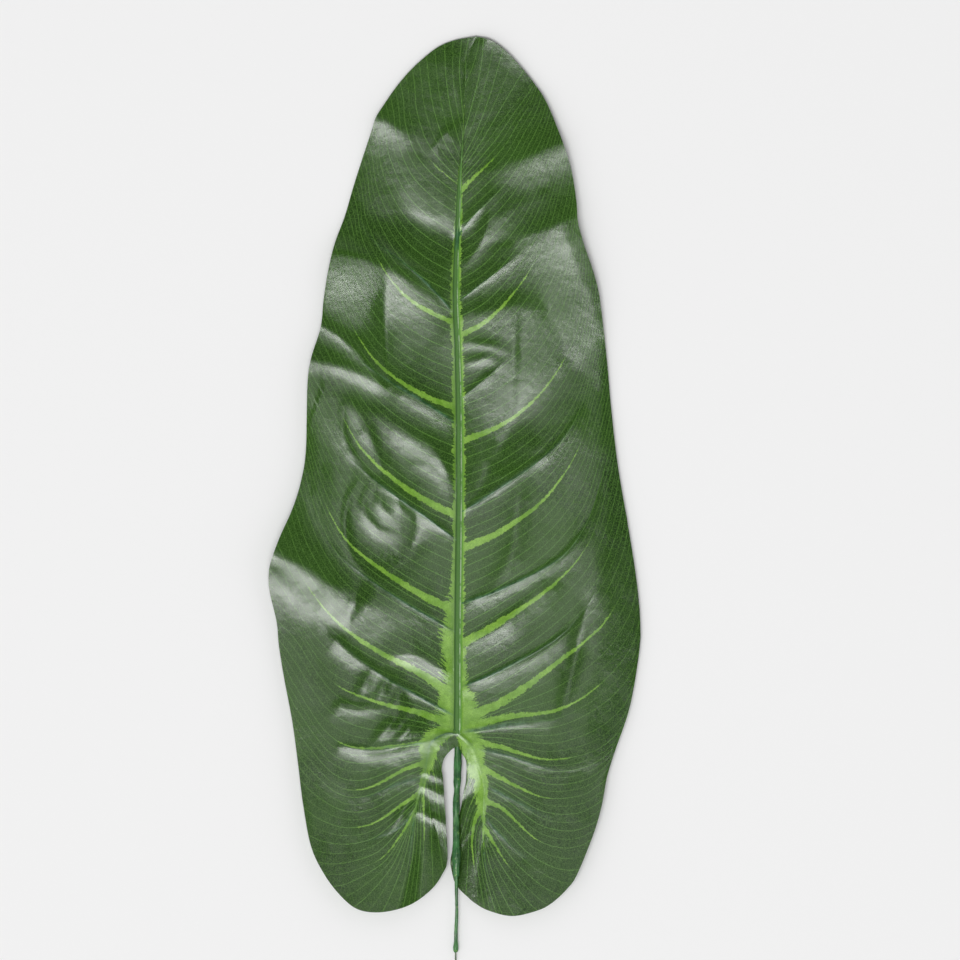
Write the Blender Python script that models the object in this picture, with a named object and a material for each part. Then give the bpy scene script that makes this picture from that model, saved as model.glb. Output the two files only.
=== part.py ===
"""An artificial anthurium leaf, lying face up: a printed cloth blade on a moulded rib frame, and its stem.

The leaf is drawn in millimetres in its own plane, +Y to the tip and +Z up from the table.
"""
import math

import bmesh
import bpy
import numpy as np

# Driving dimensions in millimetres
MM = 0.001
CLOTH_THICKNESS = 0.9
FIT_GAP = 0.3
COLUMNS = 13
RIDGE_HALF_WIDTH = 3.6
RIDGE_RISES = [(0, 0), (55, 0.2), (110, 1.2), (300, 1.5)]
ROW_SPACING = 15.0
QUILT_DEPTH = 2.2
CAMBER = 5.0
MIDRIB_WIDTHS = [(0, 1.8), (60, 2.0), (480, 5.6)]
MIDRIB_START = 62.0
RIB_WIDTH_ROOT = 2.8
RIB_WIDTH_END = 1.5
RIB_DEPTH_ROOT = 3.2
RIB_DEPTH_END = 1.1
TUBE_SIDES = 20
STEM_STEP = 6.0

# The outline and the side ribs, hand-read in millimetres: x to the right, y to the tip,
# measured from where the stem leaves the blade
TIP = (12.5, 483.5)
HUB = (0.0, 8.0)
SINUS_TOP = (0.3, -1.0)
MIDRIB = [TIP, (6.3, 467.5), (5, 447), (4, 426.5), (3, 406), (1.5, 386), (0.5, 362), (-0.5, 338),
          (-1.2, 304), (0, 270), (1, 235), (1.2, 201), (1.2, 167), (0.9, 133), (0.5, 99), (0.2, 65),
          (0.1, 31), HUB]

MARGIN_LEFT = [TIP, (-2, 481), (-14, 476), (-26.5, 466), (-35.5, 457), (-43.5, 447), (-50, 437.5),
               (-56, 428), (-59, 418.5), (-65.5, 399), (-71.5, 380), (-77, 361), (-84, 342), (-88.5, 323),
               (-91.5, 304), (-93.5, 285), (-100, 264), (-102.5, 246), (-103.5, 201.5), (-107, 179.5),
               (-113, 160.5), (-121.5, 141.5), (-128, 123), (-129, 112), (-128, 103), (-123.5, 84),
               (-122, 68), (-118.5, 46), (-113, 17), (-109, -12), (-105.5, -40), (-100, -69), (-91, -88),
               (-80, -102.5), (-69, -111.5), (-56, -114), (-41.5, -112), (-29, -107), (-17, -97.5),
               (-10.5, -88), (-7, -78.5), (-8, -54), (-9, -38), (-10, -23), (-11, -16.5), (-9, -8.5),
               (-3, -2), SINUS_TOP]
MARGIN_RIGHT = [TIP, (22, 482), (31, 476), (48, 457), (61, 437.5), (72.5, 409), (78, 390), (81, 370.5),
                (82, 357), (86, 342), (92.5, 323), (97, 304), (101.5, 265.5), (105, 227), (109.5, 189),
                (116, 151), (122, 112.5), (124.5, 85), (124, 65), (117.5, 26.5), (108, -2), (102, -21),
                (98.5, -40), (93, -59.5), (81.5, -88), (75, -97.5), (65, -107), (55, -112.5), (37.5, -116.5),
                (21.5, -113), (12, -108), (5.5, -102.5), (0, -97), (-2.5, -92.5), (-4.5, -84), (-5, -78.5),
                (-3, -68.5), (-0.5, -54.5), (2.5, -41.5), (4, -32), (5.5, -26), (6, -17.5), (5.5, -10),
                (3, -6), SINUS_TOP]

BASAL_LEFT = [HUB, (-8, 8), (-17.5, 2.5), (-20.5, -8), (-22.5, -22), (-26, -33), (-29, -44)]
BASAL_RIGHT = [HUB, (5.5, 4), (11, -2), (15, -14), (18, -27), (17.5, -46), (17.5, -65)]

# Each guide runs from the midrib or the basal rib out to the margin: its points, the height of the
# margin there, and how far along it the moulded side rib reaches, 0 where there is none
LEFT_GUIDES = [
    ([TIP, TIP], 2.0, 0),
    ([(5, 447), (2.5, 465), (-2, 481)], 1.0, 0),
    ([(4, 426.5), (-2, 446), (-8, 462), (-14, 476)], 3.0, 0),
    ([(3, 406), (-10, 424), (-20, 444), (-26.5, 466)], 8.0, 0),
    ([(1, 375), (-14, 390), (-28, 410), (-43.5, 447)], 12.0, 0),
    ([(-1, 291.5), (-17, 309.5), (-38, 329), (-60, 346), (-72, 368.5), (-74.5, 375.5)], 6.0, 0.84),
    ([(1, 217), (-24, 234), (-52, 251.5), (-73, 268.5), (-90, 291.5), (-92, 300)], 11.0, 0.86),
    ([(1, 139), (-23, 156.5), (-54, 179), (-77, 200), (-95, 228), (-102.5, 246)], 4.0, 0.8),
    ([(0.3, 75), (-31.5, 93), (-60.5, 112), (-85, 133), (-98, 154), (-107.5, 177)], 12.0, 0.84),
    ([(0.1, 19), (-25, 32.5), (-54, 49), (-78, 69), (-108, 99), (-128, 123)], 1.0, 0.74),
    ([(-17.5, 2.5), (-41, -0.5), (-70, -1.5), (-90, 9), (-109, 40), (-119, 55)], 9.0, 0.62),
    ([(-22.5, -22), (-41, -26.5), (-65, -35.5), (-87, -34), (-102, -24), (-108, -16)], 3.0, 0.62),
    ([(-29, -44), (-39.5, -56), (-56.5, -64), (-77, -70), (-91, -70), (-101.5, -63.5)], 7.0, 0.6),
    ([(-29, -44), (-37, -62), (-48, -80), (-60, -95), (-74, -107)], 2.0, 0),
    ([(-29, -44), (-31, -61), (-33, -76.5), (-37, -95.5), (-41.5, -112)], 0.6, 0.62),
    ([(-26, -33), (-23.5, -52), (-23, -72), (-24, -86), (-26, -104.5)], 3.0, 0),
    ([(-22.5, -22), (-19, -40), (-15, -58), (-11, -70), (-7.2, -75)], 4.5, 0),
    ([(-17.5, 2.5), (-15.5, -5), (-12, -13), (-10.7, -19)], 5.8, 0),
    ([(-8, 8), (-7, 2), (-6, -2), (-5.5, -5)], 6.2, 0),
    ([HUB, SINUS_TOP], 6.6, 0),
]
RIGHT_GUIDES = [
    ([TIP, TIP], 2.0, 0),
    ([(5, 447), (13, 466), (22, 482)], 5.0, 0),
    ([(4, 426.5), (12, 444), (24, 462), (31, 476)], 3.0, 0),
    ([(3, 406), (16, 424), (32, 442), (48, 457)], 1.0, 0),
    ([(0.2, 347.5), (12, 363), (31, 383), (50.5, 406), (59.5, 427), (62.5, 434)], 8.0, 0.7),
    ([(-1.2, 301), (22.5, 319.5), (40, 335), (57.5, 362), (67, 392.5), (72, 411)], 12.0, 0.8),
    ([(1, 234), (14, 245.5), (35.5, 265), (61.5, 297), (79.5, 334.5), (82, 357)], 4.0, 0.8),
    ([(1.2, 157.5), (19.5, 168.5), (62.5, 199.5), (82, 225.5), (93.5, 256), (99, 286.5)], 13.0, 0.84),
    ([(0.5, 95), (29, 105), (70, 127), (89, 153.5), (100, 191), (105, 227)], 5.0, 0.84),
    ([(0.1, 37.5), (29, 50), (68.5, 73), (90.5, 99), (106, 136.5), (112, 174)], 0.6, 0.74),
    ([HUB, (31.5, 13), (70, 18.5), (101, 30.5), (117.5, 44.5), (122.5, 55)], 8.0, 0.72),
    ([(11, -2), (33.5, -7), (66.5, -17), (90, -15.5), (104, -7), (109.5, 2)], 3.0, 0.7),
    ([(18, -27), (37, -37), (63.5, -49.5), (83.5, -50), (93.5, -46), (97.5, -43)], 9.0, 0.7),
    ([(17.5, -46), (27, -59.5), (50.5, -80), (66.5, -87), (74.5, -88.5), (81.5, -88)], 3.0, 0.66),
    ([(17.5, -65), (23, -80), (33, -95), (45, -106), (55, -112.5)], 1.5, 0),
    ([(17.5, -65), (18.5, -78.5), (21.5, -92), (26, -105), (30, -115)], 0.6, 0.6),
    ([(17.5, -65), (14, -78), (12, -90), (10, -106)], 0.4, 0),
    ([(17.5, -46), (10, -58), (3, -70), (-4.6, -82)], 0.3, 0),
    ([(18, -27), (12, -34), (6, -38), (2.3, -42)], 0.5, 0),
    ([(11, -2), (9, -6), (7, -10), (6, -15)], 4.6, 0),
    ([(5.5, 4), (5, 0), (4, -4), (3.8, -7)], 6.2, 0),
    ([HUB, SINUS_TOP], 6.6, 0),
]

# Height of the cloth's underside over the table, along the root of each half from the tip
ROOT_HEIGHTS = [(0, 2.0), (60, 2.0), (200, 3.2), (350, 4.8), (476, 6.3), (500, 6.4), (540, 5.6), (560, 5.2)]

# Stem centre line: x, y and height
STEM_LINE = [(0.1, 14, 2.9), (0.2, 0, 2.9), (0.1, -10, 3.1), (-0.5, -28, 4.2), (-1.1, -46, 5.1),
             (-1.0, -70, 5.6), (-1.0, -90, 5.5), (-0.7, -112, 4.4), (-1.3, -137, 2.3), (-1.2, -158, 1.1),
             (-1.0, -187, 0.7)]


def smooth_line(points, steps=12):
    """Return a dense Catmull-Rom polyline through the points."""
    given = np.array(points, float)
    if len(given) < 3:
        return np.array([given[0] + (given[-1] - given[0]) * t for t in np.linspace(0, 1, steps + 1)])
    ends = np.vstack([2 * given[0] - given[1], given, 2 * given[-1] - given[-2]])
    line = []
    for a, b, c, d in zip(ends, ends[1:], ends[2:], ends[3:]):
        for t in np.arange(steps) / steps:
            line.append(0.5 * (2 * b + (c - a) * t + (2 * a - 5 * b + 4 * c - d) * t ** 2
                               + (3 * b - a - 3 * c + d) * t ** 3))
    line.append(given[-1])
    return np.array(line)


def distances(line):
    """Return the distance from the start of a polyline to each of its points."""
    return np.concatenate([[0], np.cumsum(np.linalg.norm(np.diff(line, axis=0), axis=1))])


def at_distance(line, where):
    """Return the points of a polyline at the given distances from its start."""
    along = distances(line)
    return np.stack([np.interp(where, along, line[:, axis]) for axis in range(line.shape[1])], axis=-1)


def station(line, point):
    """Return the distance along a polyline of its point nearest to the given one."""
    nearest = np.argmin(np.linalg.norm(line - np.array(point, float), axis=1))
    return distances(line)[nearest]


def listed(pairs, where):
    """Read a value from a list of (position, value) pairs."""
    return np.interp(where, [pair[0] for pair in pairs], [pair[1] for pair in pairs])


class Half:
    """One half of the blade: rows run from its root line to its margin, from the tip round to the sinus."""

    def __init__(self, guides, basal, margin):
        self.root_line = np.vstack([smooth_line(MIDRIB), smooth_line(basal)[1:]])
        self.margin_line = smooth_line(margin)
        self.paths = [smooth_line(points) for points, height, reach in guides]
        self.heights = [height for points, height, reach in guides]
        self.reaches = [reach for points, height, reach in guides]
        self.roots = [station(self.root_line, path[0]) for path in self.paths]
        self.ends = [station(self.margin_line, path[-1]) for path in self.paths]
        self.ends[-1] = distances(self.margin_line)[-1]
        self.hub = station(self.root_line, HUB)

    def row(self, place, fractions):
        """Return the plan points of the row at a place between the guides, counted from 0 at the tip."""
        index = min(int(place), len(self.paths) - 2)
        blend = place - index
        pair = []
        for path in self.paths[index:index + 2]:
            line = at_distance(path, fractions * distances(path)[-1])
            pair.append(line - (path[0] + np.outer(fractions, path[-1] - path[0])))
        bow = pair[0] + (pair[1] - pair[0]) * blend
        counted = range(len(self.paths))
        root = at_distance(self.root_line, np.interp(place, counted, self.roots))
        end = at_distance(self.margin_line, np.interp(place, counted, self.ends))
        return root + np.outer(fractions, end - root) + bow

    def columns(self, place):
        """Return the fractions along a row at which its points lie, one of them at the ridge's foot."""
        length = distances(self.row(place, np.linspace(0, 1, 9)))[-1]
        foot = min(RIDGE_HALF_WIDTH / max(length, 0.1), 1 / (COLUMNS - 1))
        return np.concatenate([[0], np.linspace(foot, 1, COLUMNS - 1)])

    def height(self, place, fractions):
        """Return the height of the cloth's underside along a row."""
        counted = range(len(self.paths))
        root_station = np.interp(place, counted, self.roots)
        crest = listed(ROOT_HEIGHTS, root_station)
        edge = np.interp(place, counted, self.heights)
        length = distances(self.row(place, np.linspace(0, 1, 9)))[-1]
        size = min(length / 80, 1)
        between = math.sin(math.pi * (place % 1))
        arch = np.sin(np.pi * fractions)
        foot = crest - listed(RIDGE_RISES, root_station) * min(length / 25, 1)
        flank = np.clip(fractions * max(length, 0.1) / RIDGE_HALF_WIDTH, 0, 1)
        outward = np.clip((len(self.paths) - 5 - place) / 2, 0, 1)
        surface = foot + (edge - foot) * fractions ** (1 + 0.6 * outward) + CAMBER * size * outward * arch
        surface = surface - QUILT_DEPTH * size * between * arch
        return np.maximum(crest + (surface - crest) * flank, 0)


LEFT = Half(LEFT_GUIDES, BASAL_LEFT, MARGIN_LEFT)
RIGHT = Half(RIGHT_GUIDES, BASAL_RIGHT, MARGIN_RIGHT)


def filled(wanted, spacing):
    """Return the wanted distances in order, with more between them wherever they lie far apart."""
    wanted = sorted(wanted)
    full = [wanted[0]]
    for stop in wanted[1:]:
        start = full[-1]
        if stop - start < 0.5:
            continue
        pieces = max(1, round((stop - start) / spacing))
        full.extend(start + (stop - start) * step / pieces for step in range(1, pieces + 1))
    return full


def midrib_stations():
    """Return the distances along the midrib at which both halves have a row."""
    wanted = {0.0, LEFT.hub}
    for half in (LEFT, RIGHT):
        wanted.update(root for root in half.roots if root < half.hub - 1)
    return filled(wanted, ROW_SPACING)


def rows_of(half):
    """Return the places of all rows of a half: down the midrib, out along the basal rib, round and back."""
    roots = np.array(half.roots)
    far = roots.max()
    out, back = np.flatnonzero(roots == far)[[0, -1]]
    basal = filled({half.hub, far, *roots[(roots > half.hub + 1)]}, ROW_SPACING / 2)
    going = np.interp(midrib_stations()[:-1] + basal, roots[:out + 1], range(out + 1))
    fan = [out + step / 3 for step in range(1, 3 * (back - out))]
    coming = np.interp([-where for where in basal[::-1]], -roots[back:], range(back, len(roots)))
    return [*going, *fan, *coming]


def new_object(name, mesh, colour, roughness):
    """Add a named object with its own material."""
    material = bpy.data.materials.new(name)
    material.use_nodes = True
    shader = material.node_tree.nodes["Principled BSDF"]
    shader.inputs["Base Color"].default_value = (*colour, 1)
    shader.inputs["Roughness"].default_value = roughness
    shader.inputs["Metallic"].default_value = 0.9 if name == "core_wire" else 0
    mesh.materials.append(material)
    piece = bpy.data.objects.new(name, mesh)
    bpy.context.scene.collection.objects.link(piece)
    return piece


def cloth_mesh(name, below, above):
    """Build the blade as a closed sheet, its faces below and above the cloth's underside by these heights."""
    mesh = bmesh.new()
    made = {}

    def pair(x, y, z):
        """Return the number of a place in plan, adding its lower and upper vertex at first use."""
        key = (round(x, 3), round(y, 3))
        if key not in made:
            made[key] = len(made)
            mesh.verts.new((x * MM, y * MM, (z - below) * MM))
            mesh.verts.new((x * MM, y * MM, (z + above) * MM))
        return made[key]

    triangles = []
    for half, turn in ((LEFT, -1), (RIGHT, 1)):
        grid = []
        for place in rows_of(half):
            fractions = half.columns(place)
            plan = half.row(place, fractions)
            heights = half.height(place, fractions)
            grid.append([pair(x, y, z) for (x, y), z in zip(plan, heights)])
        for upper, lower in zip(grid, grid[1:]):
            for a, b, c, d in zip(upper, upper[1:], lower[1:], lower):
                for corners in ((a, b, c), (a, c, d)):
                    if len(set(corners)) == 3:
                        triangles.append(corners[::turn])
    mesh.verts.ensure_lookup_table()
    sides = {(a, b) for ring in triangles for a, b in zip(ring, ring[1:] + ring[:1])}
    for ring in triangles:
        mesh.faces.new([mesh.verts[2 * number] for number in ring])
        mesh.faces.new([mesh.verts[2 * number + 1] for number in ring[::-1]])
    for a, b in sides:
        if (b, a) not in sides:
            corners = [mesh.verts[number] for number in (2 * b, 2 * a, 2 * a + 1, 2 * b + 1)]
            mesh.faces.new(corners[:3])
            mesh.faces.new([corners[0], corners[2], corners[3]])
    bmesh.ops.recalc_face_normals(mesh, faces=mesh.faces)
    data = bpy.data.meshes.new(name)
    mesh.to_mesh(data)
    mesh.free()
    return data


def bar_mesh(name, line, widths, bottoms, tops):
    """Build a bar of rectangular section along a plan line."""
    line = np.array(line, float)
    ahead = np.gradient(line, axis=0)
    side = np.stack([-ahead[:, 1], ahead[:, 0]], axis=1)
    side = side / np.linalg.norm(side, axis=1)[:, None]
    mesh = bmesh.new()
    rings = []
    for point, across, width, bottom, top in zip(line, side, widths, bottoms, tops):
        near, far = point - across * width / 2, point + across * width / 2
        corners = [(*near, bottom), (*far, bottom), (*far, top), (*near, top)]
        rings.append([mesh.verts.new([value * MM for value in corner]) for corner in corners])
    for first, second in zip(rings, rings[1:]):
        for k in range(4):
            mesh.faces.new([first[k], first[(k + 1) % 4], second[(k + 1) % 4], second[k]])
    mesh.faces.new(rings[0])
    mesh.faces.new(rings[-1])
    bmesh.ops.recalc_face_normals(mesh, faces=mesh.faces)
    data = bpy.data.meshes.new(name)
    mesh.to_mesh(data)
    mesh.free()
    return data


def with_stations(profile, closed):
    """Add points to a profile at every step along the stem, so that all its pieces bend alike."""
    full = []
    ahead = profile[1:] + profile[:1] if closed else profile[1:]
    for (y, radius), (next_y, next_radius) in zip(profile, ahead):
        full.append((y, radius))
        low, high = sorted((y, next_y))
        steps = range(math.ceil((low + 1) / STEM_STEP), math.ceil((high - 1) / STEM_STEP))
        between = [step * STEM_STEP for step in steps]
        for stop in sorted(between, reverse=next_y < y):
            share = (stop - y) / (next_y - y)
            full.append((stop, radius + (next_radius - radius) * share))
    return full if closed else full + [profile[-1]]


def turned_mesh(name, profile, sides=TUBE_SIDES, closed=False):
    """Turn a profile of (y, radius) points about the stem's centre line; radius 0 ends it in a point."""
    line = smooth_line(STEM_LINE)
    order = np.argsort(line[:, 1])
    line = line[order]
    mesh = bmesh.new()
    rings = []
    for y, radius in with_stations(profile, closed):
        centre = np.array([np.interp(y, line[:, 1], line[:, 0]), y, np.interp(y, line[:, 1], line[:, 2])])
        if radius == 0:
            rings.append([mesh.verts.new(centre * MM)])
            continue
        turn = [2 * math.pi * k / sides for k in range(sides)]
        ring = [centre + radius * np.array([math.cos(a), 0, math.sin(a)]) for a in turn]
        rings.append([mesh.verts.new(point * MM) for point in ring])
    pairs = list(zip(rings, rings[1:]))
    if closed:
        pairs.append((rings[-1], rings[0]))
    for first, second in pairs:
        for k in range(sides):
            after = (k + 1) % sides
            corners = [first[k % len(first)], first[after % len(first)],
                       second[after % len(second)], second[k % len(second)]]
            corners = list(dict.fromkeys(corners))
            mesh.faces.new(corners)
    bmesh.ops.recalc_face_normals(mesh, faces=mesh.faces)
    data = bpy.data.meshes.new(name)
    mesh.to_mesh(data)
    mesh.free()
    return data


def combine(base, others, operation):
    """Join other objects to a base object, or cut them from it, and remove them."""
    group = bpy.data.collections.new("joined")
    bpy.context.scene.collection.children.link(group)
    for other in others:
        bpy.context.scene.collection.objects.unlink(other)
        group.objects.link(other)
    modifier = base.modifiers.new("joined", 'BOOLEAN')
    modifier.operation = operation
    modifier.operand_type = 'COLLECTION'
    modifier.collection = group
    modifier.solver = 'MANIFOLD'
    shaped = base.evaluated_get(bpy.context.evaluated_depsgraph_get())
    mesh = bpy.data.meshes.new_from_object(shaped)
    base.modifiers.clear()
    base.data = mesh
    for other in others:
        bpy.data.objects.remove(other)
    bpy.data.collections.remove(group)


def make_blade():
    """The printed cloth blade, waved and quilted between its ribs."""
    mesh = cloth_mesh("blade", 0, CLOTH_THICKNESS)
    return new_object("blade", mesh, (0.055, 0.11, 0.05), 0.5)


def make_rib_frame():
    """The moulded frame: midrib, side ribs, basal ribs and the socket, cut to lie under the cloth."""
    bars = []
    line = smooth_line(MIDRIB)
    stations = np.array([where for where in midrib_stations() if where >= MIDRIB_START] + [LEFT.hub + 6])
    plan = at_distance(np.vstack([line, [HUB[0], HUB[1] - 6]]), stations)
    widths = listed(MIDRIB_WIDTHS, stations)
    tops = listed(ROOT_HEIGHTS, stations) + 1
    bars.append(("midrib", plan, widths, [0.0] * len(plan), tops))
    for half, basal in ((LEFT, BASAL_LEFT), (RIGHT, BASAL_RIGHT)):
        plan = smooth_line(basal, 3)
        where = half.hub + distances(plan)
        tops = listed(ROOT_HEIGHTS, where) + 1
        depths = np.linspace(RIB_DEPTH_ROOT, 2.4, len(plan)) + 1
        bars.append(("basal", plan, np.linspace(3.4, 2.4, len(plan)), tops - depths, tops))
        for guide, reach in enumerate(half.reaches):
            if not reach:
                continue
            fractions = half.columns(guide)
            fractions = fractions[fractions <= reach]
            share = fractions / fractions[-1]
            tops = half.height(guide, fractions) + 1
            depths = RIB_DEPTH_ROOT + (RIB_DEPTH_END - RIB_DEPTH_ROOT) * share + 1
            widths = RIB_WIDTH_ROOT + (RIB_WIDTH_END - RIB_WIDTH_ROOT) * share
            bars.append(("side", half.row(guide, fractions), widths, np.maximum(tops - depths, 0), tops))
    pieces = [bpy.data.objects.new(bar[0], bar_mesh(*bar)) for bar in bars]
    socket = turned_mesh("socket", [(10, 0), (10, 2.7), (-25, 2.75), (-27, 2.4), (-27, 1.85), (-8, 1.85), (-8, 0)])
    pieces.append(bpy.data.objects.new("socket", socket))
    for piece in pieces:
        bpy.context.scene.collection.objects.link(piece)
    frame = new_object("rib_frame", pieces[0].data.copy(), (0.02, 0.11, 0.035), 0.4)
    bpy.data.objects.remove(pieces[0])
    combine(frame, pieces[1:], 'UNION')
    cutter = bpy.data.objects.new("cutter", cloth_mesh("cutter", FIT_GAP, 15))
    bpy.context.scene.collection.objects.link(cutter)
    combine(frame, [cutter], 'DIFFERENCE')
    return frame


def make_stem():
    """The sleeve that plugs into the socket, the coated stem in it, and the wire in that."""
    sleeve = [(-10, 1.5), (-27.5, 1.5), (-30, 1.95), (-34, 2.0), (-44, 2.2), (-68, 2.25), (-71, 2.65),
              (-79, 2.75), (-83, 2.4), (-89.5, 2.1), (-89.5, 1.55), (-66, 1.5), (-66, 0.9), (-10, 0.9)]
    coat = [(-67, 1.15), (-93, 1.2), (-110, 1.0), (-122, 1.2), (-134, 1.35), (-136, 1.75), (-138, 1.9),
            (-140, 1.7), (-141.5, 1.0), (-141.5, 0.86), (-67, 0.86)]
    wire = [(-30, 0), (-30, 0.56), (-186.5, 0.56), (-186.5, 0)]
    new_object("stem_sleeve", turned_mesh("stem_sleeve", sleeve, closed=True), (0.02, 0.11, 0.04), 0.4)
    new_object("stem_coat", turned_mesh("stem_coat", coat, 12, closed=True), (0.025, 0.13, 0.05), 0.4)
    new_object("core_wire", turned_mesh("core_wire", wire, 8), (0.16, 0.2, 0.15), 0.5)


def centre_on_table():
    """Move everything so that the whole leaf's box is centred on the origin and stands on the table."""
    pieces = list(bpy.context.scene.objects)
    corners = np.array([vertex.co for piece in pieces for vertex in piece.data.vertices])
    low, high = corners.min(axis=0), corners.max(axis=0)
    shift = ((low[0] + high[0]) / 2, (low[1] + high[1]) / 2, low[2])
    for piece in pieces:
        for vertex in piece.data.vertices:
            vertex.co = [value - offset for value, offset in zip(vertex.co, shift)]


for old in list(bpy.data.objects):
    bpy.data.objects.remove(old)
make_blade()
make_rib_frame()
make_stem()
centre_on_table()
for piece in bpy.context.scene.objects:
    if piece.name != "blade":
        piece.data.shade_smooth()
        piece.data.set_sharp_from_angle(angle=math.radians(35))
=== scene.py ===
"""An artificial anthurium leaf lying face up, dressed from its cloth blade down to the wire of its stem."""
import math

import bpy
import numpy as np
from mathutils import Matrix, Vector, kdtree, noise


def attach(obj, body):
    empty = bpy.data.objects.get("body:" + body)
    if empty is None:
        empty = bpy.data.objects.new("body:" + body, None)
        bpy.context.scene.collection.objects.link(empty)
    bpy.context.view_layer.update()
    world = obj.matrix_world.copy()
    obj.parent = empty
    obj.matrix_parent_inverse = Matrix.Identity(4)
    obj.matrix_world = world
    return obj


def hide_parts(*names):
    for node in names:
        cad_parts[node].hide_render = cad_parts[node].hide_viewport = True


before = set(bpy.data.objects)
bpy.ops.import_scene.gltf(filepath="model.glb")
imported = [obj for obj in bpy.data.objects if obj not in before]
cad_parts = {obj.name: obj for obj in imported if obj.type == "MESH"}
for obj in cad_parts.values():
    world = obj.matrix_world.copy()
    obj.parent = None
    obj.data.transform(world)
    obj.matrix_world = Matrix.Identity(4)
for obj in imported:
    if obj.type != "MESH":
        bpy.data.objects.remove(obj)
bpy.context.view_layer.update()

# Leaf blade: its outline
# The blade is woven polyester cloth cut to a long heart. Its outline, its midrib and the two basal ribs in
# the lobes are set here in millimetres from the place where the stem leaves it, with the tip towards +Y.
TIP = (12.5, 483.5)
HUB = (0.0, 8.0)
SINUS_TOP = (0.3, -1.0)
MIDRIB = [TIP, (6.3, 467.5), (5, 447), (4, 426.5), (3, 406), (1.5, 386), (0.5, 362), (-0.5, 338),
          (-1.2, 304), (0, 270), (1, 235), (1.2, 201), (1.2, 167), (0.9, 133), (0.5, 99), (0.2, 65),
          (0.1, 31), HUB]
MARGIN_LEFT = [TIP, (-2, 481), (-14, 476), (-26.5, 466), (-35.5, 457), (-43.5, 447), (-50, 437.5),
               (-56, 428), (-59, 418.5), (-65.5, 399), (-71.5, 380), (-77, 361), (-84, 342), (-88.5, 323),
               (-91.5, 304), (-93.5, 285), (-100, 264), (-102.5, 246), (-103.5, 201.5), (-107, 179.5),
               (-113, 160.5), (-121.5, 141.5), (-128, 123), (-129, 112), (-128, 103), (-123.5, 84),
               (-122, 68), (-118.5, 46), (-113, 17), (-109, -12), (-105.5, -40), (-100, -69), (-91, -88),
               (-80, -102.5), (-69, -111.5), (-56, -114), (-41.5, -112), (-29, -107), (-17, -97.5),
               (-10.5, -88), (-7, -78.5), (-8, -54), (-9, -38), (-10, -23), (-11, -16.5), (-9, -8.5),
               (-3, -2), SINUS_TOP]
MARGIN_RIGHT = [TIP, (21.5, 481.3), (31, 475.2), (41.5, 464.5), (51.4, 452.4), (61, 437.5), (72.5, 409),
                (78, 390), (81, 370.5), (82, 357), (86, 342), (92.5, 323), (97, 304), (101.5, 265.5),
                (105, 227), (109.5, 189), (116, 151), (122, 112.5), (124.5, 85), (124, 65), (117.5, 26.5),
                (108, -2), (102, -21), (98.5, -40), (93, -59.5), (81.5, -88), (75, -97.5), (65, -107),
                (55, -112.5), (37.5, -116.5), (21.5, -113), (12, -108), (5.5, -102.5), (0, -97),
                (-2.5, -92.5), (-4.5, -84), (-5, -78.5), (-3, -68.5), (-0.5, -54.5), (2.5, -41.5), (4, -32),
                (5.5, -26), (6, -17.5), (5.5, -10), (3, -6), SINUS_TOP]
BASAL_LEFT = [HUB, (-8, 8), (-17.5, 2.5), (-20.5, -8), (-22.5, -22), (-26, -33), (-29, -44)]
BASAL_RIGHT = [HUB, (5.5, 4), (11, -2), (15, -14), (18, -27), (17.5, -46), (17.5, -65)]


def smooth_line(points, steps=12):
    """Return a dense Catmull-Rom polyline through given points."""
    given = np.array(points, float)
    if len(given) < 3:
        return np.array([given[0] + (given[-1] - given[0]) * t for t in np.linspace(0, 1, steps + 1)])
    ends = np.vstack([2 * given[0] - given[1], given, 2 * given[-1] - given[-2]])
    line = []
    for a, b, c, d in zip(ends, ends[1:], ends[2:], ends[3:]):
        for t in np.arange(steps) / steps:
            line.append(0.5 * (2 * b + (c - a) * t + (2 * a - 5 * b + 4 * c - d) * t ** 2
                               + (3 * b - a - 3 * c + d) * t ** 3))
    line.append(given[-1])
    return np.array(line)


def distances(line):
    """Return the distance from the start of a polyline to each of its points."""
    return np.concatenate([[0], np.cumsum(np.linalg.norm(np.diff(line, axis=0), axis=1))])


def at_distance(line, where):
    """Return the points of a polyline at the given distances from its start."""
    along = distances(line)
    return np.stack([np.interp(where, along, line[:, axis]) for axis in range(line.shape[1])], axis=-1)


def station(line, point):
    """Return the distance along a polyline of its point nearest to the given one."""
    nearest = np.argmin(np.linalg.norm(line - np.array(point, float), axis=1))
    return distances(line)[nearest]


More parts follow.
